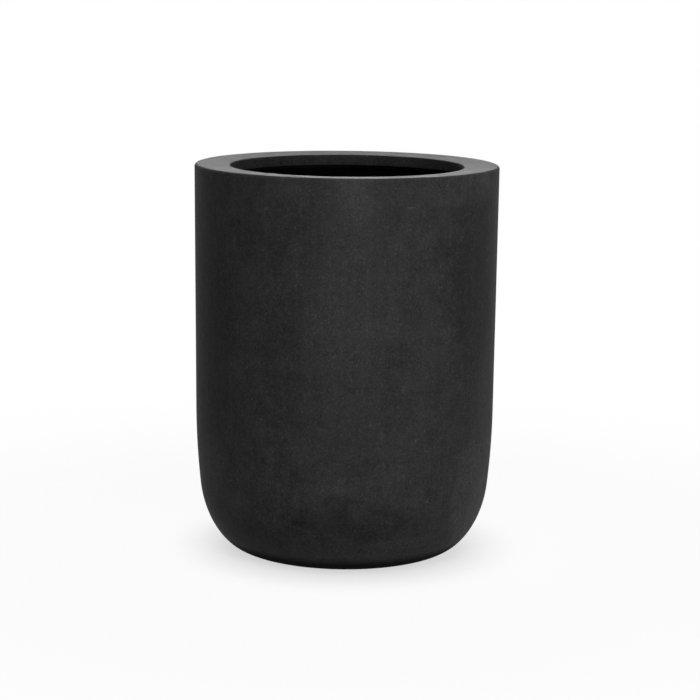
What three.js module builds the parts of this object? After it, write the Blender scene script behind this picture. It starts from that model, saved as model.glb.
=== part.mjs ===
// A tall round floor planter in glass-fibre laminate with a matt mineral face.
//
// It is built as the real one is. The body is a deep laminated shell, round at the foot and almost
// straight above. It comes out of its mould with an open top, trimmed square. The wide rim is a second
// laminate: a flat ring that dishes a little towards the mouth, with a collar turned down at the mouth
// and a locating rib that drops inside the body. A ring of resin paste bonds that rib to the body. The
// base is built up into a foot ring with a shallow recess inside it, four rubber pads lift the ring off
// the floor, and a rubber plug, pushed in from the inside, closes the drain hole.
//
// Units are millimetres and +Z is up. The origin is on the floor, on the planter's own axis.

import * as THREE from "three";

// ---- driving dimensions ----

const HEIGHT = 540; // floor to the highest point of the rim
const BODY_RADIUS = 210; // outside, at the rim
const MOUTH_RADIUS = 161.5; // the clear opening
const LAMINATE = 5; // thickness of the body's wall and of the rim
const PAD_HEIGHT = 3; // the rubber pads lift the body this far

const DRAFT = 3.1; // the whole wall draws in by this from rim to foot, so that it leaves its mould
const SWELL_HEIGHT = 198; // above the foot; from here down the wall also curves in
const SWELL_DEPTH = 18.3; // as far as this at the foot
const ROUND_HEIGHT = 90.5; // height of the quarter ellipse that rounds the foot
const ROUND_RUN = 47; // and its run

const BASE_THICKNESS = 9; // over the foot ring, where extra mat builds the base up
const RECESS_DEPTH = 3; // the underside is hollowed by this inside the foot ring
const FOOT_RING_INNER = 116;
const RECESS_SLOPE = 4; // run of the ramp between the foot ring and the recess
const DRAIN_RADIUS = 12.5;
const SEAT_DEPTH = 1.5; // the plug's seat is sunk into the inside floor, so that water runs to the hole
const SEAT_RADIUS = 20;
const SEAT_SLOPE = 4; // run of the ramp round the seat

const RIM_DISH = 2; // the rim is this much lower at the mouth
const RIM_OUTER_ROUND = 4; // radius of the rim's outer edge
const RIM_INNER_ROUND = 1.5; // radius of the edge at the mouth
const COLLAR_DEPTH = 15; // of the lip turned down at the mouth
const COLLAR_FILLET = 3; // between the collar's back and the underside of the rim
const TRIM_ROUND = 1; // eased corners of trimmed laminate

const RIB_THICKNESS = 3; // locating rib under the rim
const RIB_DEPTH = 14;
const BOND_THICKNESS = 1.7; // resin paste between the rib and the wall
const BOND_GAP = 0.3; // clearance that keeps the paste a body of its own
const BEAD_RUN = 3; // how far the squeezed-out bead stands in under the rib
const BEAD_DROP = 7; // and how far it hangs below the rib
const BEAD_LIP = 2; // height of the bead's blunt edge, before it slopes back to the wall
const BEAD_TAIL = 1; // height of the thin end of that slope

const PLUG_HEAD_RADIUS = 18;
const PLUG_HEAD_THICKNESS = 4;
const PLUG_HEAD_ROUND = 1.6;
const PLUG_STEM_CLEARANCE = 0.3; // between the stem's top and the drain hole
const PLUG_STEM_TAPER = 0.7; // the stem's end is this much smaller in radius
const PLUG_STEM_BELOW = 1.6; // how far the stem shows under the recess
const PLUG_BORE_RADIUS = 8; // the stem is hollow from below
const PLUG_DIMPLE_RADIUS = 9; // shallow thumb dimple in the head
const PLUG_DIMPLE_DEPTH = 1;
const PLUG_DIMPLE_SLOPE = 2; // run of the dimple's edge

const PAD_COUNT = 4;
const PAD_RADIUS = 9;
const PAD_EDGE = 0.8; // chamfer round the pad's tread
const PAD_FIRST_ANGLE = Math.PI / 4;

// How finely the curves are divided.
const BODY_SEGMENTS = 96;
const SMALL_SEGMENTS = 32;
const SWELL_STEPS = 4;
const ROUND_STEPS = 10;
const CORNER_STEPS = 3;
const RIM_EDGE_STEPS = 5; // the rim's outer edge is the largest round in sight
const TRIM_STEPS = 2;

// ---- derived places ----

const SEAM_Z = HEIGHT - LAMINATE; // the rim lies on the body's trimmed edge here
const FLOOR_Z = PAD_HEIGHT + BASE_THICKNESS; // inside floor
const SEAT_Z = FLOOR_Z - SEAT_DEPTH;
const RECESS_Z = PAD_HEIGHT + RECESS_DEPTH; // ceiling of the recess underneath
const FOOT_RADIUS = BODY_RADIUS - DRAFT - SWELL_DEPTH - ROUND_RUN;
const INNER_RADIUS = BODY_RADIUS - LAMINATE;
const RIB_OUTER = INNER_RADIUS - BOND_THICKNESS - 2 * BOND_GAP;
const RIB_INNER = RIB_OUTER - RIB_THICKNESS;
const PAD_CIRCLE = (FOOT_RADIUS + FOOT_RING_INNER) / 2;

// ---- materials ----

const faceCoat = new THREE.MeshStandardMaterial({ color: 0x303030, roughness: 0.75, metalness: 0 });
const resinPaste = new THREE.MeshStandardMaterial({ color: 0x4a463c, roughness: 0.55, metalness: 0 });
const blackRubber = new THREE.MeshStandardMaterial({ color: 0x171717, roughness: 0.85, metalness: 0 });

// ---- outlines, drawn in the plane of radius and height, anticlockwise round the material ----

const at = (radius, height) => new THREE.Vector2(radius, height);

// Points of a quarter turn about a centre, from one angle to another, in degrees.
function corner(radius, height, size, fromDegrees, toDegrees, steps = CORNER_STEPS) {
  const points = [];
  for (let i = 0; i <= steps; i++) {
    const angle = THREE.MathUtils.degToRad(fromDegrees + ((toDegrees - fromDegrees) * i) / steps);
    points.push(at(radius + size * Math.cos(angle), height + size * Math.sin(angle)));
  }
  return points;
}

// How far the wall has drawn in at a height above the foot: an even draft all the way, and low down a
// parabola that joins it without a corner.
function drawnIn(aboveFoot) {
  const fromSeam = 1 - aboveFoot / (SEAM_Z - PAD_HEIGHT);
  const below = Math.max(0, SWELL_HEIGHT - aboveFoot) / SWELL_HEIGHT;
  return DRAFT * fromSeam + SWELL_DEPTH * below * below;
}

// The rounded foot and the wall above it, from a foot plane up to the seam. The same rule draws the
// inside, which starts from the inside floor and stands a laminate's thickness in.
function bodyCurve(wallRadius, footPlane) {
  const points = [];
  const roundTop = PAD_HEIGHT + ROUND_HEIGHT;
  for (let i = 0; i <= ROUND_STEPS; i++) {
    const turn = (Math.PI / 2) * (i / ROUND_STEPS);
    const height = footPlane + (roundTop - footPlane) * (1 - Math.cos(turn));
    const rounding = ROUND_RUN * (1 - Math.sin(turn));
    points.push(at(wallRadius - rounding - drawnIn(height - PAD_HEIGHT), height));
  }
  const swellTop = PAD_HEIGHT + SWELL_HEIGHT;
  for (let i = 1; i <= SWELL_STEPS; i++) {
    const height = roundTop + ((swellTop - roundTop) * i) / SWELL_STEPS;
    points.push(at(wallRadius - drawnIn(height - PAD_HEIGHT), height));
  }
  points.push(at(wallRadius, SEAM_Z));
  return points;
}

// The rim's top face falls in a straight line from its outer edge to the mouth.
const RIM_FALL = RIM_DISH / (BODY_RADIUS - RIM_OUTER_ROUND - MOUTH_RADIUS - RIM_INNER_ROUND);
const rimTop = (radius) => HEIGHT - RIM_FALL * (BODY_RADIUS - RIM_OUTER_ROUND - radius);

// ---- pieces ----

// Turns an outline round the planter's axis. three.js turns it about +Y, so it is laid over to +Z.
function turned(outline, segments) {
  return new THREE.LatheGeometry(outline, segments).rotateX(Math.PI / 2);
}

function piece(name, geometry, material) {
  const mesh = new THREE.Mesh(geometry, material);
  mesh.name = name;
  return mesh;
}

function bodyShell() {
  const outside = bodyCurve(BODY_RADIUS, PAD_HEIGHT);
  const inside = bodyCurve(INNER_RADIUS, FLOOR_Z).reverse();
  const outline = [
    at(DRAIN_RADIUS, RECESS_Z),
    at(FOOT_RING_INNER - RECESS_SLOPE, RECESS_Z),
    at(FOOT_RING_INNER, PAD_HEIGHT),
    ...outside,
    ...inside,
    at(SEAT_RADIUS + SEAT_SLOPE, FLOOR_Z),
    at(SEAT_RADIUS, SEAT_Z),
    at(DRAIN_RADIUS, SEAT_Z),
    at(DRAIN_RADIUS, RECESS_Z),
  ];
  return piece("body_shell", turned(outline, BODY_SEGMENTS), faceCoat);
}

function rimRing() {
  const outerEdge = BODY_RADIUS - RIM_OUTER_ROUND;
  const innerEdge = MOUTH_RADIUS + RIM_INNER_ROUND;
  const collarFoot = rimTop(MOUTH_RADIUS) - COLLAR_DEPTH;
  const collarBack = MOUTH_RADIUS + LAMINATE;
  const underside = (radius) => rimTop(radius) - LAMINATE;
  const filletCentre = collarBack + COLLAR_FILLET;
  const outline = [
    at(BODY_RADIUS, SEAM_Z),
    ...corner(outerEdge, HEIGHT - RIM_OUTER_ROUND, RIM_OUTER_ROUND, 0, 90, RIM_EDGE_STEPS),
    ...corner(innerEdge, rimTop(innerEdge) - RIM_INNER_ROUND, RIM_INNER_ROUND, 90, 180),
    ...corner(MOUTH_RADIUS + TRIM_ROUND, collarFoot + TRIM_ROUND, TRIM_ROUND, 180, 270, TRIM_STEPS),
    ...corner(collarBack - TRIM_ROUND, collarFoot + TRIM_ROUND, TRIM_ROUND, -90, 0, TRIM_STEPS),
    ...corner(filletCentre, underside(filletCentre) - COLLAR_FILLET, COLLAR_FILLET, 180, 90),
    at(RIB_INNER, underside(RIB_INNER)),
    at(RIB_INNER, SEAM_Z - RIB_DEPTH),
    at(RIB_OUTER, SEAM_Z - RIB_DEPTH),
    at(RIB_OUTER, SEAM_Z),
    at(BODY_RADIUS, SEAM_Z),
  ];
  return piece("rim_ring", turned(outline, BODY_SEGMENTS), faceCoat);
}

function rimBond() {
  const outer = INNER_RADIUS - BOND_GAP;
  const inner = RIB_OUTER + BOND_GAP;
  const beadTop = SEAM_Z - RIB_DEPTH - BOND_GAP;
  const beadFoot = beadTop - BEAD_DROP;
  const outline = [
    at(outer, beadFoot),
    at(outer, SEAM_Z),
    at(inner, SEAM_Z),
    at(inner, beadTop),
    at(inner - BEAD_RUN, beadTop),
    at(inner - BEAD_RUN, beadTop - BEAD_LIP),
    at(inner - BEAD_RUN / 2, beadFoot + BEAD_TAIL),
    at(outer, beadFoot),
  ];
  return piece("rim_bond", turned(outline, BODY_SEGMENTS), resinPaste);
}

function drainPlug() {
  const stemTop = DRAIN_RADIUS - PLUG_STEM_CLEARANCE;
  const stemEnd = RECESS_Z - PLUG_STEM_BELOW;
  const headTop = SEAT_Z + PLUG_HEAD_THICKNESS;
  const outline = [
    at(0, SEAT_Z),
    at(PLUG_BORE_RADIUS, SEAT_Z),
    at(PLUG_BORE_RADIUS, stemEnd),
    at(stemTop - PLUG_STEM_TAPER, stemEnd),
    at(stemTop, SEAT_Z),
    at(PLUG_HEAD_RADIUS, SEAT_Z),
    ...corner(PLUG_HEAD_RADIUS - PLUG_HEAD_ROUND, headTop - PLUG_HEAD_ROUND, PLUG_HEAD_ROUND, 0, 90),
    at(PLUG_DIMPLE_RADIUS, headTop),
    at(PLUG_DIMPLE_RADIUS - PLUG_DIMPLE_SLOPE, headTop - PLUG_DIMPLE_DEPTH),
    at(0, headTop - PLUG_DIMPLE_DEPTH),
  ];
  return piece("drain_plug", turned(outline, SMALL_SEGMENTS), blackRubber);
}

function footPads() {
  const pads = [];
  const outline = [
    at(0, 0),
    at(PAD_RADIUS - PAD_EDGE, 0),
    at(PAD_RADIUS, PAD_EDGE),
    at(PAD_RADIUS, PAD_HEIGHT),
    at(0, PAD_HEIGHT),
  ];
  for (let i = 0; i < PAD_COUNT; i++) {
    const angle = PAD_FIRST_ANGLE + (2 * Math.PI * i) / PAD_COUNT;
    const pad = piece(`foot_pad_${i + 1}`, turned(outline, SMALL_SEGMENTS), blackRubber);
    pad.position.set(PAD_CIRCLE * Math.cos(angle), PAD_CIRCLE * Math.sin(angle), 0);
    pads.push(pad);
  }
  return pads;
}

const planter = new THREE.Group();
planter.add(bodyShell(), rimRing(), rimBond(), drainPlug(), ...footPads());

export default planter;
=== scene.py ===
# %% [markdown]
# # A tall round floor planter in charcoal fibreglass
#
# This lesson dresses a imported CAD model: a deep round planter of glass-fibre laminate, with a matt
# charcoal face that looks like fine stone. The CAD model already says where every piece is and how the
# drain plug moves. Blender adds what the eye sees: smooth turned surfaces, the grain of the face coat,
# the chopped strands of the laminate inside, and the light.
#
# Everything is in metres, +Z is up, and the planter stands on the floor at the origin.

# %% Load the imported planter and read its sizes
import math

import bmesh
import bpy
from mathutils import Matrix, Vector


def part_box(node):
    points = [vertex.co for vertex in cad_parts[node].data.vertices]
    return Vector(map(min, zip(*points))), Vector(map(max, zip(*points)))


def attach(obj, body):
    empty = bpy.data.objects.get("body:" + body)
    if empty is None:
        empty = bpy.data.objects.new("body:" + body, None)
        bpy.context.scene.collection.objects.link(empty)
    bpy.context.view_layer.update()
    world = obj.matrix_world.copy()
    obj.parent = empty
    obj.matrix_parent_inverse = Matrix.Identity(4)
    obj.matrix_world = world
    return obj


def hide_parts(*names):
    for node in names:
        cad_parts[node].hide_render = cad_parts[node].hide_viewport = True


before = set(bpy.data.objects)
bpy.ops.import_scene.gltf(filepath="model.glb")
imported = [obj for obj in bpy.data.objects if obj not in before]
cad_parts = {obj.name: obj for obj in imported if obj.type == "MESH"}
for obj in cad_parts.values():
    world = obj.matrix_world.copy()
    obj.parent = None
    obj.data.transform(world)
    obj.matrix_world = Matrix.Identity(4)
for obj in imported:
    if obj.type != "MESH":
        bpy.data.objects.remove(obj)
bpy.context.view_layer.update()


def size_up(node):
    """A turned CAD piece's smallest and largest radius, and its lowest and highest z."""
    corners = [vertex.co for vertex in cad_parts[node].data.vertices]
    radii = [math.hypot(corner.x, corner.y) for corner in corners]
    heights = [corner.z for corner in corners]
    return min(radii), max(radii), min(heights), max(heights)


DRAIN_RADIUS, BODY_RADIUS, FOOT_Z, SEAM_Z = size_up("body_shell")
MOUTH_RADIUS, _, RIB_Z, RIM_Z = size_up("rim_ring")
print(f"body {BODY_RADIUS * 2000:.0f} mm across, rim {RIM_Z * 1000:.0f} mm up,"
      f" mouth {MOUTH_RADIUS * 2000:.0f} mm, drain hole {DRAIN_RADIUS * 2000:.0f} mm")

# %% [markdown]
# ## The camera
#
# The photograph looks slightly down at the planter, so that the rim shows as a thin ellipse. Its
# outline and the two ellipses of the rim fix the camera: a long lens three metres away, a little above
# the rim, with a trace of roll. A long lens could also be faked with an orthographic camera, but the
# walls in the photograph draw together towards the foot by more than their own taper, and only a
# perspective camera gives that.

# %% Stand the camera where the photographer stood
PHOTO_WIDTH = 700  # pixels
FOCAL_PIXELS = 2179
CAMERA_DISTANCE = 3.0
CAMERA_HEIGHT = 0.818
LOOKING_DOWN = 10.18  # degrees
TURNED_RIGHT = 0.13
ROLLED = 0.63

camera_data = bpy.data.cameras.new("camera")
camera_data.sensor_width = 36.0
camera_data.lens = FOCAL_PIXELS / PHOTO_WIDTH * camera_data.sensor_width
camera = bpy.data.objects.new("camera", camera_data)
bpy.context.scene.collection.objects.link(camera)
bpy.context.scene.camera = camera
camera.matrix_world = (
    Matrix.Translation((0, -CAMERA_DISTANCE, CAMERA_HEIGHT))
    @ Matrix.Rotation(math.radians(-TURNED_RIGHT), 4, "Z")
    @ Matrix.Rotation(math.radians(90 - LOOKING_DOWN), 4, "X")
    @ Matrix.Rotation(math.radians(ROLLED), 4, "Z")
)
print(f"camera lens {camera_data.lens:.1f} mm")

# %% [markdown]
# ## Node trees, written as Python
#
# Both materials and Geometry Nodes are trees of small boxes joined by wires. Built by hand in a script,
# each box takes four lines. Two small classes shorten that. A Wire stands for one output socket and
# knows arithmetic, so `1 - mask * 0.5` adds its own Math nodes. A Net is the tree itself, and its main
# method adds any node: its settings first, then what goes into its sockets.

# %% A wire that knows arithmetic, and a net that adds nodes
class Wire:
    """One output socket of a node. Arithmetic on it adds Math nodes."""

    def __init__(self, net, socket):
        self.net = net
        self.socket = socket

    def math(self, operation, *values):
        """A Math node on these values. The wire only says which tree it goes into."""
        return self.net.node("ShaderNodeMath", {"operation": operation}, dict(enumerate(values)))

    def __add__(self, other):
        return self.math("ADD", self, other)

    def __radd__(self, other):
        return self.math("ADD", other, self)

    def __sub__(self, other):
        return self.math("SUBTRACT", self, other)

    def __rsub__(self, other):
        return self.math("SUBTRACT", other, self)

    def __mul__(self, other):
        return self.math("MULTIPLY", self, other)

    def __rmul__(self, other):
        return self.math("MULTIPLY", other, self)

    def __truediv__(self, other):
        return self.math("DIVIDE", self, other)

    def __rtruediv__(self, other):
        return self.math("DIVIDE", other, self)

    def rises(self, low, high):
        """0 below low, 1 above high, and a smooth step between."""
        return self.net.node(
            "ShaderNodeMapRange",
            {"interpolation_type": "SMOOTHSTEP"},
            {"Value": self, "From Min": low, "From Max": high},
        )


class Net:
    """A node tree under construction."""

    def __init__(self, tree):
        self.tree = tree

    def node(self, kind, settings=None, sockets=None, out=0):
        """A new node, and the wire from one of its outputs if it has any."""
        made = self.tree.nodes.new(kind)
        for name, value in (settings or {}).items():
            setattr(made, name, value)
        for name, value in (sockets or {}).items():
            if isinstance(value, Wire):
                self.tree.links.new(value.socket, made.inputs[name])
            else:
                made.inputs[name].default_value = value
        return Wire(self, made.outputs[out]) if len(made.outputs) else None

    def also(self, wire, out):
        """Another output of the node that a wire comes from."""
        return Wire(self, wire.socket.node.outputs[out])


print("a wire adds, subtracts, multiplies and divides, and a net adds any other node")


# %% [markdown]
# ## Outlines
#
# Almost every piece of this planter is turned: one outline in the plane of radius and height, swept
# about the axis. The outlines repeat the rules of the CAD model, with more points, so the pieces lie
# exactly where its solids do. Each runs anticlockwise round the material, out along the underside and
# up the outside, which makes the faces point outwards.

# %% The rules of the planter's outline
LAMINATE = 0.005
DRAFT = 0.0031  # the wall draws in evenly by this from seam to foot
SWELL_HEIGHT = 0.198  # above the foot; from here down the wall also curves in
SWELL_DEPTH = 0.0183
ROUND_HEIGHT = 0.0905  # the quarter ellipse that rounds the foot
ROUND_RUN = 0.047
FLOOR_Z = 0.012  # inside floor
RECESS_Z = 0.006  # ceiling of the recess underneath
FOOT_RING_INNER = 0.116
RECESS_SLOPE = 0.004
SEAT_Z = 0.0105  # the drain plug's seat
SEAT_RADIUS = 0.020
SEAT_SLOPE = 0.004
FLAT_STEPS = 8  # points along a flat stretch


def arc(radius, height, size, start, end, steps):
    """Points of a turn about a centre, from one angle to another, in degrees."""
    points = []
    for i in range(steps + 1):
        angle = math.radians(start + (end - start) * i / steps)
        points.append((radius + size * math.cos(angle), height + size * math.sin(angle)))
    return points


def line(start, end, steps):
    """Evenly spaced points on a straight stretch, without its first."""
    return [
        (start[0] + (end[0] - start[0]) * i / steps, start[1] + (end[1] - start[1]) * i / steps)
        for i in range(1, steps + 1)
    ]


def drawn_in(height):
    """How far the wall has drawn in at a height: an even draft, and low down a parabola as well."""
    below = max(0.0, SWELL_HEIGHT - (height - FOOT_Z)) / SWELL_HEIGHT
    return DRAFT * (SEAM_Z - height) / (SEAM_Z - FOOT_Z) + SWELL_DEPTH * below**2


def body_curve(wall_radius, foot_plane, round_steps, wall_steps):
    """The rounded foot and the wall above it, from a foot plane up to the seam."""
    points = []
    round_top = FOOT_Z + ROUND_HEIGHT
    for i in range(round_steps + 1):
        turn = math.pi / 2 * i / round_steps
        height = foot_plane + (round_top - foot_plane) * (1 - math.cos(turn))
        rounding = ROUND_RUN * (1 - math.sin(turn))
        points.append((wall_radius - rounding - drawn_in(height), height))
    for i in range(1, wall_steps + 1):
        height = round_top + (SEAM_Z - round_top) * i / wall_steps
        points.append((wall_radius - drawn_in(height), height))
    return points


print(f"the wall draws in by {drawn_in(FOOT_Z) * 1000:.1f} mm from the seam to the foot,"
      f" and the foot is rounded by another {ROUND_RUN * 1000:.0f} mm")


# %% [markdown]
# ## Turning an outline with Geometry Nodes
#
# A lathe could be the Screw modifier, or a loop that writes vertices. Here it is a small node tree,
# because it then has its sizes as named inputs, and can carry more than the shape along. It makes a
# flat grid with one row for each outline point, wraps the grid round the axis, and welds the seam and
# the poles. The same tree lets the surface wander inwards by a fraction of a millimetre, as hand-laid
# laminate does, and gives the inside of a piece its own finish.

# %% A lathe made of nodes
WELD = 1e-6  # metres
COLUMNS = 288  # steps of a large piece's turn
CREASE_ABOVE = 30.0  # degrees; an edge that bends by more stays sharp
WANDER_SCALE = 9.0  # blobs per metre
WANDER_DETAIL = 2.0
WANDER_ROUGHNESS = 0.4


def new_geometry_tree(name, inputs):
    """An empty Geometry Nodes tree with a geometry input and these further named inputs."""
    tree = bpy.data.node_groups.new(name, "GeometryNodeTree")
    tree.is_modifier = True
    tree.interface.new_socket("Geometry", in_out="INPUT", socket_type="NodeSocketGeometry")
    for title, kind in inputs:
        tree.interface.new_socket(title, in_out="INPUT", socket_type=kind)
    tree.interface.new_socket("Geometry", in_out="OUTPUT", socket_type="NodeSocketGeometry")
    return tree


def lathe_tree():
    """The tree that turns an outline, given as a chain of vertices, about the z axis."""
    tree = new_geometry_tree("lathe", [
        ("Columns", "NodeSocketInt"),
        ("Wander", "NodeSocketFloat"),
        ("Wander Scale", "NodeSocketFloat"),
        ("Smooth Below", "NodeSocketFloat"),
        ("Outside Finish", "NodeSocketMaterial"),
        ("Inside Finish", "NodeSocketMaterial"),
    ])
    net = Net(tree)
    outline = net.node("NodeGroupInput")
    given = {socket.name: Wire(net, socket) for socket in outline.socket.node.outputs}

    # One grid row for each outline point, one column for each step of the turn, and one more column
    # that is welded to the first. The half keeps the division clear of whole numbers.
    rows = net.node("GeometryNodeAttributeDomainSize", {"component": "MESH"}, {"Geometry": outline})
    grid = net.node("GeometryNodeMeshGrid", {}, {
        "Size X": 1.0, "Size Y": 1.0, "Vertices X": given["Columns"] + 1, "Vertices Y": rows,
    })
    index = net.node("GeometryNodeInputIndex")
    column = net.node("ShaderNodeMath", {"operation": "FLOOR"}, {0: (index + 0.5) / rows})
    row = index - column * rows

    # Each vertex takes its radius and height from the outline point of its row.
    here = net.node("GeometryNodeSampleIndex", {"data_type": "FLOAT_VECTOR"}, {
        "Geometry": outline, "Value": net.node("GeometryNodeInputPosition"), "Index": row,
    })
    radius = net.node("ShaderNodeSeparateXYZ", {}, {0: here})
    height = net.also(radius, "Z")
    turn = column / given["Columns"] * math.tau
    ring = {
        "X": radius * net.node("ShaderNodeMath", {"operation": "COSINE"}, {0: turn}),
        "Y": radius * net.node("ShaderNodeMath", {"operation": "SINE"}, {0: turn}),
        "Z": height,
    }
    place = net.node("ShaderNodeCombineXYZ", {}, ring)
    turned = net.node("GeometryNodeSetPosition", {}, {"Geometry": grid, "Position": place})
    for attribute in ("inside", "free"):
        named = net.node("GeometryNodeInputNamedAttribute", {"data_type": "FLOAT"}, {"Name": attribute})
        sampled = net.node("GeometryNodeSampleIndex", {"data_type": "FLOAT"}, {
            "Geometry": outline, "Value": named, "Index": row,
        })
        turned = net.node("GeometryNodeStoreNamedAttribute", {"data_type": "FLOAT"}, {
            "Geometry": turned, "Name": attribute, "Value": sampled,
        })
    welded = net.node("GeometryNodeMergeByDistance", {}, {"Geometry": turned, "Distance": WELD})

    # The free surfaces wander inwards, towards the axis, by up to the given amount.
    position = net.node("GeometryNodeInputPosition")
    flat = net.node("ShaderNodeVectorMath", {"operation": "MULTIPLY"}, {0: position, 1: (1, 1, 0)})
    outwards = net.node("ShaderNodeVectorMath", {"operation": "NORMALIZE"}, {0: flat})
    noise = net.node("ShaderNodeTexNoise", {}, {
        "Vector": position,
        "Scale": given["Wander Scale"],
        "Detail": WANDER_DETAIL,
        "Roughness": WANDER_ROUGHNESS,
    })
    free = net.node("GeometryNodeInputNamedAttribute", {"data_type": "FLOAT"}, {"Name": "free"})
    step = net.node("ShaderNodeVectorMath", {"operation": "SCALE"}, {
        0: outwards, "Scale": noise * free * given["Wander"] * -1.0,
    })
    wandering = net.node("GeometryNodeSetPosition", {}, {"Geometry": welded, "Offset": step})

    # Smooth faces, with a crease wherever the outline turns a real corner.
    bend = net.node("GeometryNodeInputMeshEdgeAngle")
    crease = net.node("FunctionNodeCompare", {"operation": "GREATER_THAN"}, {
        0: bend, 1: given["Smooth Below"],
    })
    smooth = net.node("GeometryNodeSetShadeSmooth", {"domain": "FACE"}, {"Geometry": wandering})
    creased = net.node("GeometryNodeSetShadeSmooth", {"domain": "EDGE"}, {
        "Geometry": smooth, "Selection": crease, "Shade Smooth": False,
    })
    realised = net.node("GeometryNodeRealizeInstances", {}, {"Geometry": creased})
    faced = net.node("GeometryNodeSetMaterial", {}, {
        "Geometry": realised, "Material": given["Outside Finish"],
    })
    inside = net.node("GeometryNodeInputNamedAttribute", {"data_type": "FLOAT"}, {"Name": "inside"})
    is_inside = net.node("FunctionNodeCompare", {"operation": "GREATER_THAN"}, {0: inside, 1: 0.5})
    lined = net.node("GeometryNodeSetMaterial", {}, {
        "Geometry": faced, "Selection": is_inside, "Material": given["Inside Finish"],
    })
    net.node("NodeGroupOutput", {}, {"Geometry": lined})
    return tree


LATHE = lathe_tree()
print(f"the lathe has {len(LATHE.nodes)} nodes")

# %% [markdown]
# A modifier keeps its inputs under identifiers such as Socket_2, not under their names, so a helper
# looks the names up. A second helper freezes what the nodes make into a plain mesh, because the rest of
# the script, and whoever takes the planter on, wants vertices and not a recipe. It also prints the
# volume inside the mesh: it comes out negative when the faces point the wrong way.

# %% Set a modifier's inputs, and freeze its result
def add_nodes(maker, tree, inputs):
    """Puts a Geometry Nodes tree on an object, with its named inputs filled in."""
    modifier = maker.modifiers.new(tree.name, "NODES")
    modifier.node_group = tree
    for item in tree.interface.items_tree:
        if item.item_type == "SOCKET" and item.in_out == "INPUT" and item.name in inputs:
            modifier[item.identifier] = inputs[item.name]


def freeze(maker):
    """Swaps an object's live nodes for the plain mesh that they make."""
    graph = bpy.context.evaluated_depsgraph_get()
    mesh = bpy.data.meshes.new_from_object(maker.evaluated_get(graph))
    maker.modifiers.clear()
    mesh.name = maker.name
    maker.data = mesh
    shape = bmesh.new()
    shape.from_mesh(mesh)
    open_edges = sum(1 for edge in shape.edges if not edge.is_manifold)
    litres = shape.calc_volume(signed=True) * 1000
    shape.free()
    print(f"{maker.name}: {len(mesh.polygons)} faces, {litres:.4f} litres, {open_edges} open edges")
    return maker


def turn_piece(name, outline, finish, inside_finish=None, inside=(), free=(),
               columns=COLUMNS, wander=0.0, wander_scale=WANDER_SCALE, smooth_below=CREASE_ABOVE):
    """A turned piece. inside and free number the outline points that are lined, and that may wander."""
    mesh = bpy.data.meshes.new(name)
    corners = [(radius, 0.0, height) for radius, height in outline]
    mesh.from_pydata(corners, [(i, i + 1) for i in range(len(outline) - 1)], [])
    for title, chosen in (("inside", inside), ("free", free)):
        values = [1.0 if i in chosen else 0.0 for i in range(len(outline))]
        mesh.attributes.new(title, "FLOAT", "POINT").data.foreach_set("value", values)
    maker = bpy.data.objects.new(name, mesh)
    bpy.context.scene.collection.objects.link(maker)
    add_nodes(maker, LATHE, {
        "Columns": columns,
        "Wander": wander,
        "Wander Scale": wander_scale,
        "Smooth Below": math.radians(smooth_below),
        "Outside Finish": finish,
        "Inside Finish": inside_finish or finish,
    })
    return freeze(maker)


# %% [markdown]
# ## The charcoal face coat
#
# The face of the real planter is a thin coat of dark resin filled with stone powder, rubbed down by
# hand until it is matt. Seen close, pale grains and dark pores sit side by side. From a step back they
# merge into a soft mottle, with faint streaks where the surface was rubbed up and down. One flat grey
# would look like plastic, and an image would blur when seen close. Noise at five scales, read from the
# planter's own coordinates, gives grain, grit, mottle, clouds and streaks. The cells of a Voronoi
# texture add a few pale specks.

# %% Helpers for materials
NOISE_MIDDLE = 0.5  # the noise texture runs from 0 to 1 and is even about this


def new_material(name):
    """An empty material, and its tree as a net."""
    material = bpy.data.materials.new(name)
    material.use_nodes = True
    material.node_tree.nodes.clear()
    return material, Net(material.node_tree)


def object_place(net):
    return net.node("ShaderNodeTexCoord", {}, {}, out="Object")


def height_above_floor(net, place):
    return net.also(net.node("ShaderNodeSeparateXYZ", {}, {0: place}), "Z")


def noise_at(net, place, size, detail=2.0, roughness=0.5):
    """Noise from 0 to 1 whose blobs are about as big as size."""
    return net.node("ShaderNodeTexNoise", {}, {
        "Vector": place, "Scale": 1.0 / size, "Detail": detail, "Roughness": roughness,
    })


def swing_at(net, place, size, detail=2.0, roughness=0.5):
    """The same noise, swinging about 0."""
    return noise_at(net, place, size, detail, roughness) - NOISE_MIDDLE


def mix_colour(net, factor, low, high):
    # A Mix node has its factor, its two colours and its mixed colour at these places.
    return net.node("ShaderNodeMix", {"data_type": "RGBA"}, {0: factor, 6: low, 7: high}, out=2)


def relief(net, strength, depth, height):
    return net.node("ShaderNodeBump", {}, {"Strength": strength, "Distance": depth, "Height": height})


def finish_surface(net, sockets):
    """The Principled shader and the material's output."""
    shader = net.node("ShaderNodeBsdfPrincipled", {}, sockets)
    net.node("ShaderNodeOutputMaterial", {}, {"Surface": shader})


print("helpers for place, height, noise, colour, relief and the finished surface")
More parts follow.
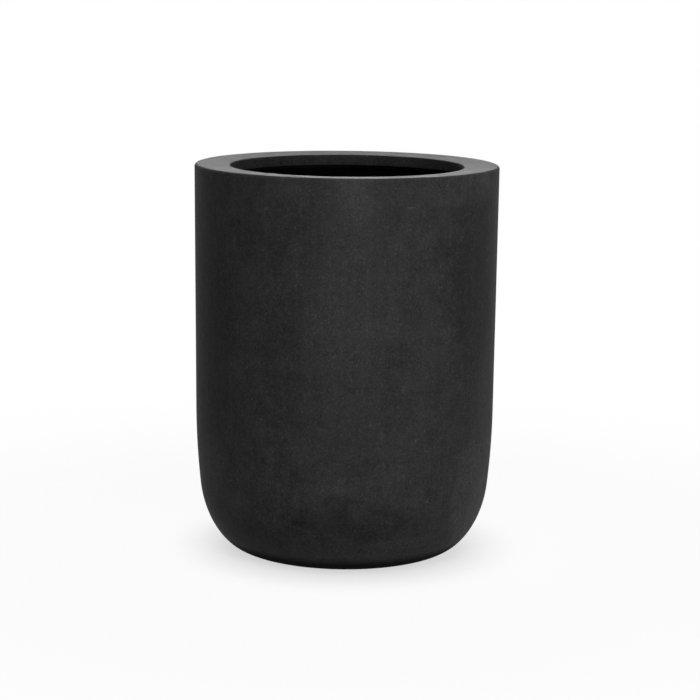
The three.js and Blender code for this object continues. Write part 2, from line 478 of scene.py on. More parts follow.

# %% [markdown]
# ## Marks of the hand, with painted highlight and shade
#
# Noise alone looks the same all the way round, and a real pot does not: each has places that were
# rubbed longer or missed. They are laid on as ovals of three kinds: pale ones with a ragged edge, pale
# ones whose edge melts away, and dark ones with the softest edge. Every oval has its place as an angle
# round the planter and a height, which is how one would point at it on the real thing. Noise, added to
# the distance from its middle, frays it. Not every oval is a mark: a pale column down the middle of the
# front is a painted highlight, and dark ovals round the turn of the foot and down the left side are
# painted shade.

# %% Places rubbed paler or left darker, and painted highlight and shade
# Each row: degrees round from the front, height, half width, half height, how much paler or darker.
RAGGED_PLACES = [
    (60, 0.106, 0.049, 0.070, 0.46),  # large, low on the right
    (51, 0.062, 0.032, 0.024, 0.22),
    (70, 0.074, 0.040, 0.044, 0.30),
    (66, 0.215, 0.024, 0.080, 0.20),  # its tail, up the right side
    (28, 0.047, 0.055, 0.008, 0.16),  # and another, round the foot
    (-60, 0.146, 0.026, 0.032, 0.40),  # low on the left
    (-47, 0.094, 0.020, 0.015, 0.25),
    (24, 0.5015, 0.007, 0.0011, 0.9),  # two scratches
    (14, 0.430, 0.0012, 0.006, 0.5),
    (-160, 0.120, 0.026, 0.050, 0.14),  # on the back
    (125, 0.070, 0.026, 0.020, 0.20),
]
PALE_PLACES = [
    (4, 0.524, 0.026, 0.032, 0.28),  # touches under the rim
    (62, 0.532, 0.018, 0.011, 0.40),
    (50, 0.522, 0.080, 0.022, 0.30),
    (-20, 0.526, 0.016, 0.010, 0.15),
    # A painted highlight: a broad pale column down the middle of the front.
    (1, 0.410, 0.036, 0.160, 0.13),  # a broad column in the middle
    (-8, 0.356, 0.030, 0.064, 0.12),
    (11, 0.342, 0.034, 0.014, 0.16),
    (-5, 0.129, 0.034, 0.007, 0.18),  # strokes near the foot
    (5, 0.031, 0.066, 0.004, 0.16),
    (-38, 0.398, 0.014, 0.024, 0.12),
    (32, 0.312, 0.014, 0.050, 0.12),
    (-46, 0.276, 0.022, 0.026, 0.14),
    (150, 0.300, 0.050, 0.090, 0.18),  # on the back
]
DARK_PLACES = [
    # The first three rows are painted shade: darker round the turn of the foot and down the left side,
    # where less light falls.
    (0, 0.034, 0.400, 0.056, 0.15),  # round the turn of the foot
    (-80, 0.280, 0.036, 0.300, 0.35),  # along the left side
    (-60, 0.330, 0.052, 0.190, 0.20),
    (-30, 0.467, 0.045, 0.024, 0.12),
    (-24, 0.259, 0.028, 0.110, 0.10),
    (2, 0.084, 0.095, 0.028, 0.23),
    (56, 0.390, 0.060, 0.110, 0.20),
    (-30, 0.060, 0.060, 0.020, 0.12),
    (110, 0.440, 0.060, 0.050, 0.18),
    (-115, 0.250, 0.050, 0.110, 0.15),
]
RAGGED_EDGE = 0.07  # the width of an oval's edge, as a share of its size
MELTING_EDGE = 0.6
SOFT_EDGE = 1.0
FRAYED_WIDTH = 0.027  # an oval with a larger half width than this is frayed less


def length_of(net, arrow):
    return net.node("ShaderNodeVectorMath", {"operation": "LENGTH"}, {0: arrow}, out="Value")


def ovals(net, spot, fray, places, edge):
    """The amounts of all these ovals added up, at a spot given as an angle and a height."""
    total = 0.0
    for degrees, middle, half_width, half_height, amount in places:
        angle = math.radians(degrees)
        across = BODY_RADIUS / half_width
        along = 1.0 / half_height
        from_middle = net.node("ShaderNodeVectorMath", {"operation": "MULTIPLY_ADD"}, {
            0: spot, 1: (across, along, 0), 2: (-angle * across, -middle * along, 0),
        })
        distance = length_of(net, from_middle)
        frayed = distance + fray * min(1.0, FRAYED_WIDTH / half_width)
        inside = 1.0 - frayed.rises(1.0 - edge / 2, 1.0 + edge / 2)
        total = total + inside * amount
    return total


def rubbed_and_painted_light(net, place, fray):
    """Where the coat is paler or darker from rubbing, and where highlight and shade are painted on, as
    a factor around 1.
    """
    to_the_right = net.node("ShaderNodeSeparateXYZ", {}, {0: place})
    to_the_front = net.also(to_the_right, "Y") * -1.0
    turn = to_the_right.math("ARCTAN2", to_the_right, to_the_front)
    spot = net.node("ShaderNodeCombineXYZ", {}, {"X": turn, "Y": net.also(to_the_right, "Z")})
    ragged = ovals(net, spot, fray, RAGGED_PLACES, RAGGED_EDGE)
    paler = ovals(net, spot, fray, PALE_PLACES, MELTING_EDGE)
    darker = ovals(net, spot, fray, DARK_PLACES, SOFT_EDGE)
    return 1.0 + ragged + paler - darker


print(f"{len(RAGGED_PLACES)} ragged, {len(PALE_PLACES)} melting and {len(DARK_PLACES)} dark places")

# %% [markdown]
# ## The coat's tone
#
# Every layer of noise moves the tone by its own amount, and the tone then mixes a dark colour with a
# light one. Noise is as often above its middle as below, but the real coat has more pale grains than
# dark ones. So grain and grit are used a second time, cut off below, which leaves only their pale tops
# as crystals and flecks. Thin pale threads run where the grit is near its middle. Under the turn of
# the foot the tone is painted darker, as painted shade, and the coat is made rougher.

# %% The layers of the coat
FACE_DARK = (0.0, 0.0, 0.0, 1.0)
FACE_LIGHT = (0.051, 0.051, 0.051, 1.0)
MIDDLE_TONE = 0.435  # between the dark colour at 0 and the light one at 1
GRAIN_SIZE = 0.0012  # metres
GRAIN_AMOUNT = 0.8  # how far the grain moves the tone
CRYSTAL_TOPS = (0.03, 0.20)  # the pale tops of the grain: where they begin, and where they are full
CRYSTAL_AMOUNT = 0.10
GRIT_SIZE = 0.0030
GRIT_AMOUNT = 0.3
FLECK_TOPS = (0.02, 0.25)
FLECK_AMOUNT = 0.18
THREAD_WIDTH = 0.022  # how near its middle the grit noise draws its pale threads
THREAD_AMOUNT = 0.09
SPECK_SPACING = 0.016
SPECK_SIZE = 0.0012
SPECK_CORE = 0.6  # the share of a speck's size within which it is fully pale
SPECK_STRETCH = 0.6  # heights are shrunk to this share before the specks are read, so they stand taller
SPECK_AMOUNT = 0.5
MOTTLE_SIZE = 0.0085
MOTTLE_AMOUNT = 0.25
CLOUD_SIZE = 0.030
CLOUD_AMOUNT = 0.35
STREAK_WIDTH = 0.006
STREAK_STRETCH = 0.05  # and to this share before the streaks are read
STREAK_AMOUNT = 0.15


def coat_layers(net, place):
    """The layers of noise that more than one part of the coat uses."""
    grain = swing_at(net, place, GRAIN_SIZE, detail=3.0, roughness=0.7)
    grit = swing_at(net, place, GRIT_SIZE)
    mottle = swing_at(net, place, MOTTLE_SIZE)
    clouds = swing_at(net, place, CLOUD_SIZE, detail=4.0)
    return grain, grit, mottle, clouds


def squeezed(net, place, share):
    """The place with its height shrunk to a share, which draws what is read there out upwards."""
    return net.node("ShaderNodeMapping", {}, {"Vector": place, "Scale": (1, 1, share)})


def coat_tone(net, place, grain, grit, mottle, clouds):
    """How pale the coat is before any rubbing, from 0 to 1."""
    threads = 1.0 - grit.math("ABSOLUTE", grit).rises(0.0, THREAD_WIDTH)
    streaks = swing_at(net, squeezed(net, place, STREAK_STRETCH), STREAK_WIDTH)
    to_speck = net.node("ShaderNodeTexVoronoi", {}, {
        "Vector": squeezed(net, place, SPECK_STRETCH), "Scale": 1.0 / SPECK_SPACING,
    })
    speck_radius = SPECK_SIZE / SPECK_SPACING
    speck = 1.0 - to_speck.rises(SPECK_CORE * speck_radius, speck_radius)
    fine = grain * GRAIN_AMOUNT + grain.rises(*CRYSTAL_TOPS) * CRYSTAL_AMOUNT
    fine = fine + grit * GRIT_AMOUNT + grit.rises(*FLECK_TOPS) * FLECK_AMOUNT
    fine = fine + threads * THREAD_AMOUNT + speck * SPECK_AMOUNT
    broad = mottle * MOTTLE_AMOUNT + clouds * CLOUD_AMOUNT + streaks * STREAK_AMOUNT
    return MIDDLE_TONE + fine + broad


print(f"grains of {GRAIN_SIZE * 1000:.1f} mm to clouds of {CLOUD_SIZE * 1000:.0f} mm")

# %% The face coat's material
FACE_ROUGHNESS = 0.65
ROUGHNESS_SWING = 0.15
FACE_SPECULAR = 0.04
FACE_RELIEF = 0.0003  # metres
FACE_RELIEF_STRENGTH = 0.5
RELIEF_OF_GRAIN = 0.6  # the shares of that relief
RELIEF_OF_GRIT = 0.4
FRAY_BY_CLOUDS = 3.5  # how far each layer shifts an oval's edge, as a share of the oval's size
FRAY_BY_MOTTLE = 2.0
FRAY_BY_GRIT = 1.2
# Painted shade: under the turn of the foot the coat's tone is cut to this share.
PAINTED_FOOT_SHADE = 0.12  # the share of its tone that the coat keeps under the turn of the foot
FOOT_ROUGHER = 0.35
FOOT_DARK_BELOW = 0.011
FOOT_PLAIN_ABOVE = 0.028


def face_coat():
    material, net = new_material("charcoal_face_coat")
    place = object_place(net)
    grain, grit, mottle, clouds = coat_layers(net, place)
    fray = clouds * FRAY_BY_CLOUDS + mottle * FRAY_BY_MOTTLE + grit * FRAY_BY_GRIT
    above_foot = height_above_floor(net, place).rises(FOOT_DARK_BELOW, FOOT_PLAIN_ABOVE)
    tone = coat_tone(net, place, grain, grit, mottle, clouds) * rubbed_and_painted_light(net, place, fray)
    # Painted shade: the tone darkens under the turn of the foot.
    tone = tone * (PAINTED_FOOT_SHADE + above_foot * (1 - PAINTED_FOOT_SHADE))
    swing = clouds * ROUGHNESS_SWING + grain * ROUGHNESS_SWING
    bumps = grain * RELIEF_OF_GRAIN + grit * RELIEF_OF_GRIT
    finish_surface(net, {
        "Base Color": mix_colour(net, tone, FACE_DARK, FACE_LIGHT),
        "Roughness": FACE_ROUGHNESS + swing + (1.0 - above_foot) * FOOT_ROUGHER,
        "Specular IOR Level": FACE_SPECULAR,
        "Normal": relief(net, FACE_RELIEF_STRENGTH, FACE_RELIEF, bumps),
    })
    return material


FACE_COAT = face_coat()
print(f"the face coat has {len(FACE_COAT.node_tree.nodes)} nodes")

# %% [markdown]
# ## The inside
#
# Inside, the laminate is left as it was laid, so the chopped strands of the glass mat stand through.
# Black paint is sprayed in through the mouth. It is dense on the upper wall and thins out towards the
# floor, where the grey laminate shows. The strands could be thousands of thin meshes, but they stand
# only a fraction of a millimetre proud. Noise that is stretched one way makes streaks like strands, and
# a mat is several such layers, each turned another way, with the highest one on top.

# %% The painted laminate
STRAND_LENGTH = 0.030
STRAND_WIDTH = 0.0013
STRAND_DIRECTIONS = (  # degrees of tilt out of the level, and of turn round the axis
    (0, 10), (0, 55), (0, 100), (0, 145), (40, 30), (55, 120), (75, 0), (40, 210), (55, 300),
)
STRAND_TOPS = (0.58, 0.70)  # the noise where a strand begins to show, and where it stands full
STRAND_RELIEF = 0.0004  # metres
STRAND_RELIEF_STRENGTH = 0.8
PAINT_THICK = 0.48  # heights between which the paint thins out
PAINT_THIN = 0.14
PAINT_EDGE_SWING = 0.1  # metres up and down by which clouds shift that edge
PAINT_BLACK = (0.0008, 0.0008, 0.0008, 1)
BARE_LAMINATE = (0.105, 0.105, 0.100, 1)
BARE_TONE = 0.35
BARE_STRAND_TONE = 0.45  # how much paler the strands' backs are than the resin between them
BARE_CLOUD_TONE = 0.6
PAINTED_STRAND_TONE = 0.02
PAINT_ROUGHNESS = 0.75
STRAND_SMOOTHER = 0.1
PAINT_SPECULAR = 0.02


def strand_mat(net, place):
    """Criss-cross strands: 0 between them and 1 on their backs."""
    top = None
    for tilt, turn in STRAND_DIRECTIONS:
        along = net.node("ShaderNodeMapping", {"vector_type": "TEXTURE"}, {
            "Vector": place,
            "Rotation": (0, math.radians(tilt), math.radians(turn)),
            "Scale": (STRAND_LENGTH, STRAND_WIDTH, STRAND_WIDTH),
        })
        layer = noise_at(net, along, 1.0, detail=0.0).rises(*STRAND_TOPS)
        top = layer if top is None else top.math("MAXIMUM", top, layer)
    return top


def painted_laminate():
    material, net = new_material("black_painted_laminate")
    place = object_place(net)
    mat = strand_mat(net, place)
    clouds = swing_at(net, place, CLOUD_SIZE)
    height = height_above_floor(net, place) + clouds * PAINT_EDGE_SWING
    bare = 1.0 - height.rises(PAINT_THIN, PAINT_THICK)
    bare_tone = BARE_TONE + mat * BARE_STRAND_TONE + clouds * BARE_CLOUD_TONE
    tone = bare * bare_tone + mat * PAINTED_STRAND_TONE
    finish_surface(net, {
        "Base Color": mix_colour(net, tone, PAINT_BLACK, BARE_LAMINATE),
        "Roughness": PAINT_ROUGHNESS - mat * STRAND_SMOOTHER,
        "Specular IOR Level": PAINT_SPECULAR,
        "Normal": relief(net, STRAND_RELIEF_STRENGTH, STRAND_RELIEF, mat),
    })
    return material


INSIDE_PAINT = painted_laminate()
print(f"the painted laminate has {len(STRAND_DIRECTIONS)} layers of strands")

# %% [markdown]
# ## Paste and rubber
#
# The bonding paste is a filled resin with black pigment, and the plug and the pads are plain moulded
# rubber. They differ only in colour, grain and gloss, so one function makes both finishes.

# %% The small pieces' finishes
CLOUDS_TO_GRAIN = 14  # the clouds' size, as a multiple of the grain's
PLAIN_GRAIN_AMOUNT = 0.9
PLAIN_CLOUD_AMOUNT = 0.7
PLAIN_ROUGHNESS_SWING = 0.2
PLAIN_RELIEF_STRENGTH = 0.6


def plain_finish(name, low, high, grain_size, roughness, depth, specular):
    """A matt finish of one colour with fine grain."""
    material, net = new_material(name)
    place = object_place(net)
    grain = swing_at(net, place, grain_size, detail=3.0, roughness=0.6)
    clouds = swing_at(net, place, grain_size * CLOUDS_TO_GRAIN)
    tone = NOISE_MIDDLE + grain * PLAIN_GRAIN_AMOUNT + clouds * PLAIN_CLOUD_AMOUNT
    finish_surface(net, {
        "Base Color": mix_colour(net, tone, low, high),
        "Roughness": roughness + clouds * PLAIN_ROUGHNESS_SWING,
        "Specular IOR Level": specular,
        "Normal": relief(net, PLAIN_RELIEF_STRENGTH, depth, grain),
    })
    return material


BOND_PASTE = plain_finish(
    "bonding_paste", (0.005, 0.0045, 0.004, 1), (0.019, 0.0175, 0.016, 1),
    grain_size=0.0015, roughness=0.6, depth=0.0004, specular=0.1,
)
RUBBER = plain_finish(
    "moulded_rubber", (0.006, 0.006, 0.006, 1), (0.020, 0.020, 0.020, 1),
    grain_size=0.0006, roughness=0.78, depth=0.00008, specular=0.3,
)
print("finishes:", [material.name for material in bpy.data.materials])

# %% [markdown]
# ## The body
#
# The body is laid up by hand in a mould: a wall with a trace of draft, a curve that draws it in lower
# down, and a quarter of an ellipse that carries it under to the foot ring. Inside the ring the base is
# hollowed a little, so that the planter stands on the ring's pads and cannot rock. The plug's seat and
# the drain hole are trimmed afterwards.

# %% Turn the body
ROUND_STEPS = 30  # points round the foot
WALL_STEPS = 54
TRIM = 0.0006  # trimmed corners are eased by this much
WANDER = 0.00035  # how far the laminate's surface wanders at the most


def body_outline():
    """The body's outline, with the numbers of its outside and inside points."""
    underside = [
        (DRAIN_RADIUS, RECESS_Z + TRIM),
        (DRAIN_RADIUS + TRIM, RECESS_Z),
        *line((DRAIN_RADIUS + TRIM, RECESS_Z), (FOOT_RING_INNER - RECESS_SLOPE, RECESS_Z), FLAT_STEPS),
        (FOOT_RING_INNER, FOOT_Z),
    ]
    outside = body_curve(BODY_RADIUS, FOOT_Z, ROUND_STEPS, WALL_STEPS)
    inside = body_curve(BODY_RADIUS - LAMINATE, FLOOR_Z, ROUND_STEPS, WALL_STEPS)
    inside.reverse()
    floor = [
        *line(inside[-1], (SEAT_RADIUS + SEAT_SLOPE, FLOOR_Z), FLAT_STEPS),
        (SEAT_RADIUS, SEAT_Z),
        (DRAIN_RADIUS + TRIM, SEAT_Z),
        (DRAIN_RADIUS, SEAT_Z - TRIM),
        (DRAIN_RADIUS, RECESS_Z + TRIM),
    ]
    outline = underside + outside + inside + floor
    first_outside = len(underside)
    first_inside = first_outside + len(outside)
    return outline, range(first_outside + 1, first_inside), range(first_inside, len(outline))


outline, outside_points, inside_points = body_outline()
body = turn_piece(
    "planter_body", outline, FACE_COAT, INSIDE_PAINT,
    inside=inside_points, free=outside_points, wander=WANDER,
)
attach(body, "planter")
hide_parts("body_shell")

# %% [markdown]
# ## The rim
#
# The rim is a second laminate that lies on the body's trimmed edge. Its face falls a little towards the
# mouth, where it turns down into a short collar, and a rib underneath drops inside the body to centre
# it. The outer edge is softly rounded and the edge at the mouth is crisp, so that a thin line of light
# runs along it. The joint is filled and rubbed down on the real planter, so it must not show: the rim
# and the body share their outer radius and the same wandering surface.

# %% Turn the rim
RIM_DISH = 0.002  # how far the face falls
RIM_OUTER_ROUND = 0.004
OUTER_ROUND_STEPS = 10
RIM_INNER_ROUND = 0.0015
INNER_ROUND_STEPS = 8
COLLAR_DEPTH = 0.015
COLLAR_STEPS = 5
COLLAR_FILLET = 0.003
FILLET_STEPS = 6
TRIM_ROUND = 0.001  # the collar's trimmed edge
TRIMMED_STEPS = 5
SEAM_POINTS = 3  # from the seam up, the points that wander with the body
RIB_THICKNESS = 0.003
BOND_THICKNESS = 0.0017
BOND_GAP = 0.0003
RIB_OUTER = BODY_RADIUS - LAMINATE - BOND_THICKNESS - 2 * BOND_GAP
RIB_INNER = RIB_OUTER - RIB_THICKNESS
RIM_EDGE = BODY_RADIUS - RIM_OUTER_ROUND
RIM_FALL = RIM_DISH / (RIM_EDGE - MOUTH_RADIUS - RIM_INNER_ROUND)


def rim_top(radius):
    """The height of the dished face."""
    return RIM_Z - RIM_FALL * (RIM_EDGE - radius)


def rim_outline():
    """The rim's outline, with the numbers of the points that may wander and of those out of sight."""
    inner_edge = MOUTH_RADIUS + RIM_INNER_ROUND
    collar_foot = rim_top(MOUTH_RADIUS) - COLLAR_DEPTH
    collar_back = MOUTH_RADIUS + LAMINATE
    fillet_centre = collar_back + COLLAR_FILLET
    fillet_z = rim_top(fillet_centre) - LAMINATE - COLLAR_FILLET
    inner_round_z = rim_top(inner_edge) - RIM_INNER_ROUND
    trim_z = collar_foot + TRIM_ROUND
    outer_round = arc(RIM_EDGE, RIM_Z - RIM_OUTER_ROUND, RIM_OUTER_ROUND, 0, 90, OUTER_ROUND_STEPS)
    outer = [(BODY_RADIUS, SEAM_Z)] + outer_round
    top = line(outer[-1], (inner_edge, rim_top(inner_edge)), FLAT_STEPS)[:-1]
    mouth = arc(inner_edge, inner_round_z, RIM_INNER_ROUND, 90, 180, INNER_ROUND_STEPS)
    lip = arc(MOUTH_RADIUS + TRIM_ROUND, trim_z, TRIM_ROUND, 180, 270, TRIMMED_STEPS)
    collar = line(mouth[-1], lip[0], COLLAR_STEPS)[:-1]
    back = arc(collar_back - TRIM_ROUND, trim_z, TRIM_ROUND, -90, 0, TRIMMED_STEPS)
    fillet = arc(fillet_centre, fillet_z, COLLAR_FILLET, 180, 90, FILLET_STEPS)
    rib = [
        (RIB_INNER, rim_top(RIB_INNER) - LAMINATE),
        (RIB_INNER, RIB_Z + TRIM),
        (RIB_INNER + TRIM, RIB_Z),
        (RIB_OUTER - TRIM, RIB_Z),
        (RIB_OUTER, RIB_Z + TRIM),
        (RIB_OUTER, SEAM_Z),
    ]
    face = outer + top + mouth + collar + lip
    outline = face + back + fillet + rib + [(BODY_RADIUS, SEAM_Z)]
    wandering = [*range(SEAM_POINTS), len(outline) - 1]
    return outline, wandering, range(len(face) + TRIMMED_STEPS // 2, len(outline))


outline, wandering, hidden = rim_outline()
rim = turn_piece(
    "planter_rim", outline, FACE_COAT, INSIDE_PAINT,
    inside=hidden, free=wandering, wander=WANDER,
)
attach(rim, "planter")
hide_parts("rim_ring")

# %% [markdown]
# ## The bond
#
# Resin paste holds the rim's rib to the wall. What is squeezed out below hangs as a bead, and nobody
# wipes it, because no one sees it. The bead is turned like the rest, but its free side wanders far more
# and at a shorter scale.

# %% Turn the bead of paste
BOND_STEPS = 4  # points up the wall's side
BEAD_RUN = 0.003  # how far the bead reaches in under the rib
BEAD_DROP = 0.007  # and how far it hangs down
BEAD_TURN = (100, 250)  # degrees; where its round side starts and ends
BEAD_STEPS = 7
BEAD_WANDER = 0.0016
BEAD_WANDER_SCALE = 34.0
BEAD_CREASE_ABOVE = 70.0  # degrees


def bond_outline():
    """The paste's outline, with the numbers of the points that may wander."""
    outer = BODY_RADIUS - LAMINATE - BOND_GAP
    inner = RIB_OUTER + BOND_GAP
    top = RIB_Z - BOND_GAP
    foot = top - BEAD_DROP
    held = [
        (outer, foot),
        *line((outer, foot), (outer, SEAM_Z), BOND_STEPS),
        (inner, SEAM_Z),
        (inner, top),
    ]
    bead = [
        (inner - BEAD_RUN / 3, top),
        *arc(inner - BEAD_RUN / 2, (top + foot) / 2, BEAD_RUN / 2, *BEAD_TURN, BEAD_STEPS),
    ]
    return held + bead + [(outer, foot)], range(len(held), len(held) + len(bead))


outline, wandering = bond_outline()
bond = turn_piece(
    "bonding_paste", outline, BOND_PASTE, free=wandering,
    wander=BEAD_WANDER, wander_scale=BEAD_WANDER_SCALE, smooth_below=BEAD_CREASE_ABOVE,
)
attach(bond, "planter")
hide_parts("rim_bond")

# %% [markdown]
# ## The drain plug
#
# The plug is soft rubber. Its head lies in the sunk seat, and a hollow stem goes down through the drain
# hole. The shallow dimple is where a thumb pushes it home.

# %% Turn the drain plug
PLUG_HEAD_RADIUS = 0.018
PLUG_HEAD_THICKNESS = 0.004
PLUG_HEAD_ROUND = 0.0016
PLUG_STEM_CLEARANCE = 0.0003
PLUG_STEM_TAPER = 0.0007
PLUG_STEM_BELOW = 0.0016
PLUG_BORE_RADIUS = 0.008
PLUG_DIMPLE_RADIUS = 0.009
PLUG_DIMPLE_DEPTH = 0.001
PLUG_ROUND_STEPS = 8
PLUG_DIMPLE_STEPS = 4
PLUG_COLUMNS = 96


def plug_outline():
    stem_top = DRAIN_RADIUS - PLUG_STEM_CLEARANCE
    stem_end = RECESS_Z - PLUG_STEM_BELOW
    stem_low = stem_top - PLUG_STEM_TAPER
    head_top = SEAT_Z + PLUG_HEAD_THICKNESS
    round_radius = PLUG_HEAD_RADIUS - PLUG_HEAD_ROUND
    dimple = PLUG_DIMPLE_RADIUS - 2 * PLUG_DIMPLE_DEPTH
    dimple_z = head_top - PLUG_DIMPLE_DEPTH
    return [
        (0, SEAT_Z),
        (PLUG_BORE_RADIUS, SEAT_Z),
        (PLUG_BORE_RADIUS, stem_end + TRIM),
        (PLUG_BORE_RADIUS + TRIM, stem_end),
        (stem_low - TRIM, stem_end),
        (stem_low, stem_end + TRIM),
        (stem_top, SEAT_Z),
        (PLUG_HEAD_RADIUS - TRIM / 2, SEAT_Z),
        *arc(round_radius, head_top - PLUG_HEAD_ROUND, PLUG_HEAD_ROUND, 0, 90, PLUG_ROUND_STEPS),
        *arc(PLUG_DIMPLE_RADIUS + TRIM, head_top - TRIM, TRIM, 90, 150, PLUG_DIMPLE_STEPS),
        *arc(dimple - TRIM, dimple_z + TRIM, TRIM, -45, -90, PLUG_DIMPLE_STEPS),
        (0, dimple_z),
    ]


plug = turn_piece("drain_plug_rubber", plug_outline(), RUBBER, columns=PLUG_COLUMNS)
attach(plug, "drain_plug")
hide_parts("drain_plug")

# %% [markdown]
# ## The foot pads
#
# Four rubber pads under the foot ring keep the laminate off the floor. They are alike and stand evenly
# on a circle, so one pad is turned and Geometry Nodes sets a copy on each corner of a circle.

# %% Turn one pad and set it on a circle
PAD_COUNT = 4
PAD_RADIUS = 0.009
PAD_COLUMNS = 64
PAD_EDGE = 0.0008
PAD_EDGE_STEPS = 5
PAD_RINGS = (0.35, 0.65)  # two fine grooves in the tread, as shares of its radius
PAD_GROOVE = 0.0004
pad_low, pad_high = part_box("foot_pad_1")
PAD_CIRCLE = math.hypot(pad_low.x + PAD_RADIUS, pad_low.y + PAD_RADIUS)


def pad_outline():
    outline = [(0, 0)]
    for ring in PAD_RINGS:
        middle = PAD_RADIUS * ring
        outline += [
            (middle - PAD_GROOVE, 0),
            (middle - PAD_GROOVE / 2, PAD_GROOVE),
            (middle + PAD_GROOVE / 2, PAD_GROOVE),
            (middle + PAD_GROOVE, 0),
        ]
    outline += arc(PAD_RADIUS - PAD_EDGE, PAD_EDGE, PAD_EDGE, -90, 0, PAD_EDGE_STEPS)
    outline += [(PAD_RADIUS, pad_high.z), (0, pad_high.z)]
    return outline


def circle_of_copies_tree():
    """The tree that sets copies of a piece on a circle, the first half a step round from +X."""
    tree = new_geometry_tree("circle_of_copies", [
        ("Count", "NodeSocketInt"),
        ("Circle Radius", "NodeSocketFloat"),
        ("Finish", "NodeSocketMaterial"),
    ])
    net = Net(tree)
    copy = net.node("NodeGroupInput")
    given = {socket.name: Wire(net, socket) for socket in copy.socket.node.outputs}
    circle = net.node("GeometryNodeMeshCircle", {}, {
        "Vertices": given["Count"], "Radius": given["Circle Radius"],
    })
    half_step = net.node("ShaderNodeCombineXYZ", {}, {"Z": math.pi / given["Count"]})
    spun = net.node("GeometryNodeTransform", {}, {"Geometry": circle, "Rotation": half_step})
    copies = net.node("GeometryNodeInstanceOnPoints", {}, {"Points": spun, "Instance": copy})
    realised = net.node("GeometryNodeRealizeInstances", {}, {"Geometry": copies})
    faced = net.node("GeometryNodeSetMaterial", {}, {"Geometry": realised, "Material": given["Finish"]})
    net.node("NodeGroupOutput", {}, {"Geometry": faced})
    return tree


pads = turn_piece("foot_pads", pad_outline(), RUBBER, columns=PAD_COLUMNS)
add_nodes(pads, circle_of_copies_tree(), {
    "Count": PAD_COUNT, "Circle Radius": PAD_CIRCLE, "Finish": RUBBER,
})
freeze(pads)
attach(pads, "planter")
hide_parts("foot_pad_1", "foot_pad_2", "foot_pad_3", "foot_pad_4")

# %% [markdown]
# ## The floor and the white round it
#
# The photograph is a product shot on pure white. The floor is a real pale floor, so that it takes the
# planter's shadow, but a real floor would fade to grey further off. So to the camera and in
# reflections the floor is mixed with plain white: more than half under the planter, so that its foot
# still stands in some shadow, mostly next to it, and wholly further off. The world is white to them in
# the same way, and gives the planter itself only a little light.

# %% Floor and world
FLOOR_SIZE = 30.0  # metres
FLOOR_COLOUR = (0.8, 0.8, 0.8, 1)
WHITE = (1, 1, 1, 1)
WHITE_UNDER = 0.6  # the white's share under the planter
WHITE_NEAR = 0.92  # and next to it
UNDER = 0.13  # metres from the axis
NEAR = 0.25
FAR = 1.2
WORLD_LIGHT = 0.05


def seen_directly(net):
    """1 where the camera looks, also in a reflection or through a clear pane, and 0 for light."""
    camera_ray = net.node("ShaderNodeLightPath", {}, {}, out="Is Camera Ray")
    glossy_ray = net.also(camera_ray, "Is Glossy Ray")
    clear_ray = net.also(camera_ray, "Is Transmission Ray")
    seen = camera_ray.math("MAXIMUM", camera_ray, glossy_ray)
    return seen.math("MAXIMUM", seen, clear_ray)


def floor_material():
    material, net = new_material("studio_floor")
    place = object_place(net)
    from_axis = length_of(net, place)
    near = from_axis.rises(UNDER, NEAR) * (WHITE_NEAR - WHITE_UNDER)
    far = from_axis.rises(NEAR, FAR) * (1 - WHITE_NEAR)
    share = seen_directly(net) * (WHITE_UNDER + near + far)
    diffuse = net.node("ShaderNodeBsdfDiffuse", {}, {"Color": FLOOR_COLOUR})
    white = net.node("ShaderNodeEmission", {}, {"Color": WHITE, "Strength": 1.0})
    mixed = net.node("ShaderNodeMixShader", {}, {0: share, 1: diffuse, 2: white})
    net.node("ShaderNodeOutputMaterial", {}, {"Surface": mixed})
    return material


def build_floor():
    half = FLOOR_SIZE / 2
    corners = [(-half, -half, 0), (half, -half, 0), (half, half, 0), (-half, half, 0)]
    mesh = bpy.data.meshes.new("studio_floor")
    mesh.from_pydata(corners, [], [(0, 1, 2, 3)])
    mesh.materials.append(floor_material())
    floor = bpy.data.objects.new("studio_floor", mesh)
    bpy.context.scene.collection.objects.link(floor)


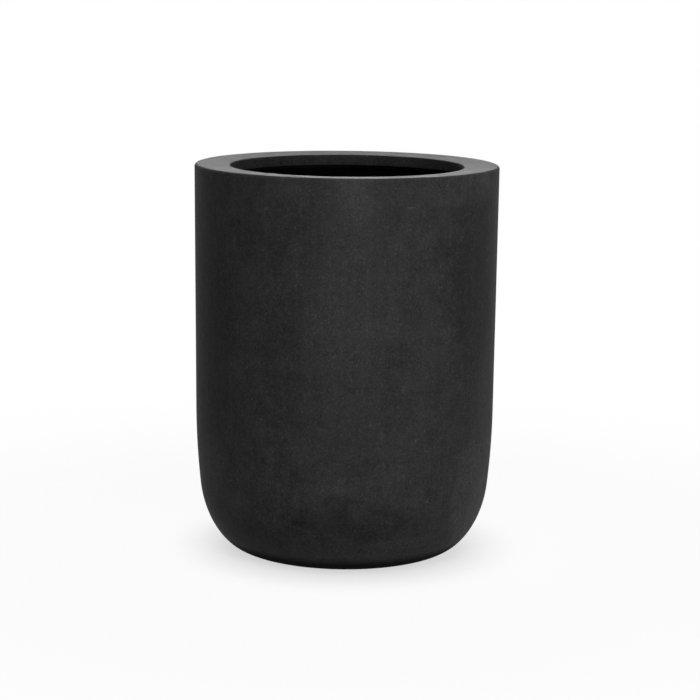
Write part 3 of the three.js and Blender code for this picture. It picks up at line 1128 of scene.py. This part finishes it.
def build_world():
    world = bpy.data.worlds.new("studio")
    world.use_nodes = True
    world.node_tree.nodes.clear()
    net = Net(world.node_tree)
    strength = WORLD_LIGHT + seen_directly(net) * (1 - WORLD_LIGHT)
    white = net.node("ShaderNodeBackground", {}, {"Color": WHITE, "Strength": strength})
    net.node("ShaderNodeOutputWorld", {}, {"Surface": white})
    bpy.context.scene.world = world


build_floor()
build_world()
print(f"the floor is {WHITE_UNDER:.0%} white under the planter, and pure white from {FAR} m away")

# %% [markdown]
# ## The lamps
#
# Four soft boxes light the planter. A broad low one stands at the front, to the right, and a second one
# higher up in the middle, so the wall is palest a little right of its centre and darkest on the left.
# The third stands low behind the planter. Its light reaches the lens only where it skims the coat: over
# the rim, which turns pale, and along both edges of the wall. The fourth is small and hangs above, with
# a grid that keeps its light off the floor, and lights the inside through the mouth. Each is placed by
# its direction, as seen from the planter.

# %% Lamps
LAMP_DISTANCE = 2.6
LAMP_TARGET = Vector((0, 0, 0.35))


def softbox(name, azimuth, elevation, width, height, power, spread=180):
    """A lamp that faces the planter. Azimuth 0 is the front, and it goes round to the right."""
    turn = math.radians(azimuth)
    rise = math.radians(elevation)
    level = math.cos(rise)
    towards = Vector((math.sin(turn) * level, -math.cos(turn) * level, math.sin(rise)))
    lamp_data = bpy.data.lights.new(name, "AREA")
    lamp_data.shape = "RECTANGLE"
    lamp_data.size = width
    lamp_data.size_y = height
    lamp_data.energy = power
    lamp_data.spread = math.radians(spread)
    lamp = bpy.data.objects.new(name, lamp_data)
    bpy.context.scene.collection.objects.link(lamp)
    lamp.visible_camera = False
    aim = (-towards).to_track_quat("-Z", "Y")
    place = LAMP_TARGET + LAMP_DISTANCE * towards
    lamp.matrix_world = Matrix.Translation(place) @ aim.to_matrix().to_4x4()


softbox("front_low", azimuth=23, elevation=8, width=1.6, height=1.0, power=40.5)
softbox("front_high", azimuth=0, elevation=45, width=1.2, height=1.0, power=16.5)
softbox("back_low", azimuth=180, elevation=8, width=1.2, height=1.0, power=41.5)
softbox("above", azimuth=0, elevation=90, width=0.3, height=0.3, power=0.6, spread=20)
bpy.context.scene.view_settings.view_transform = "Standard"
print("lamps:", {lamp.name: round(lamp.energy, 1) for lamp in bpy.data.lights})
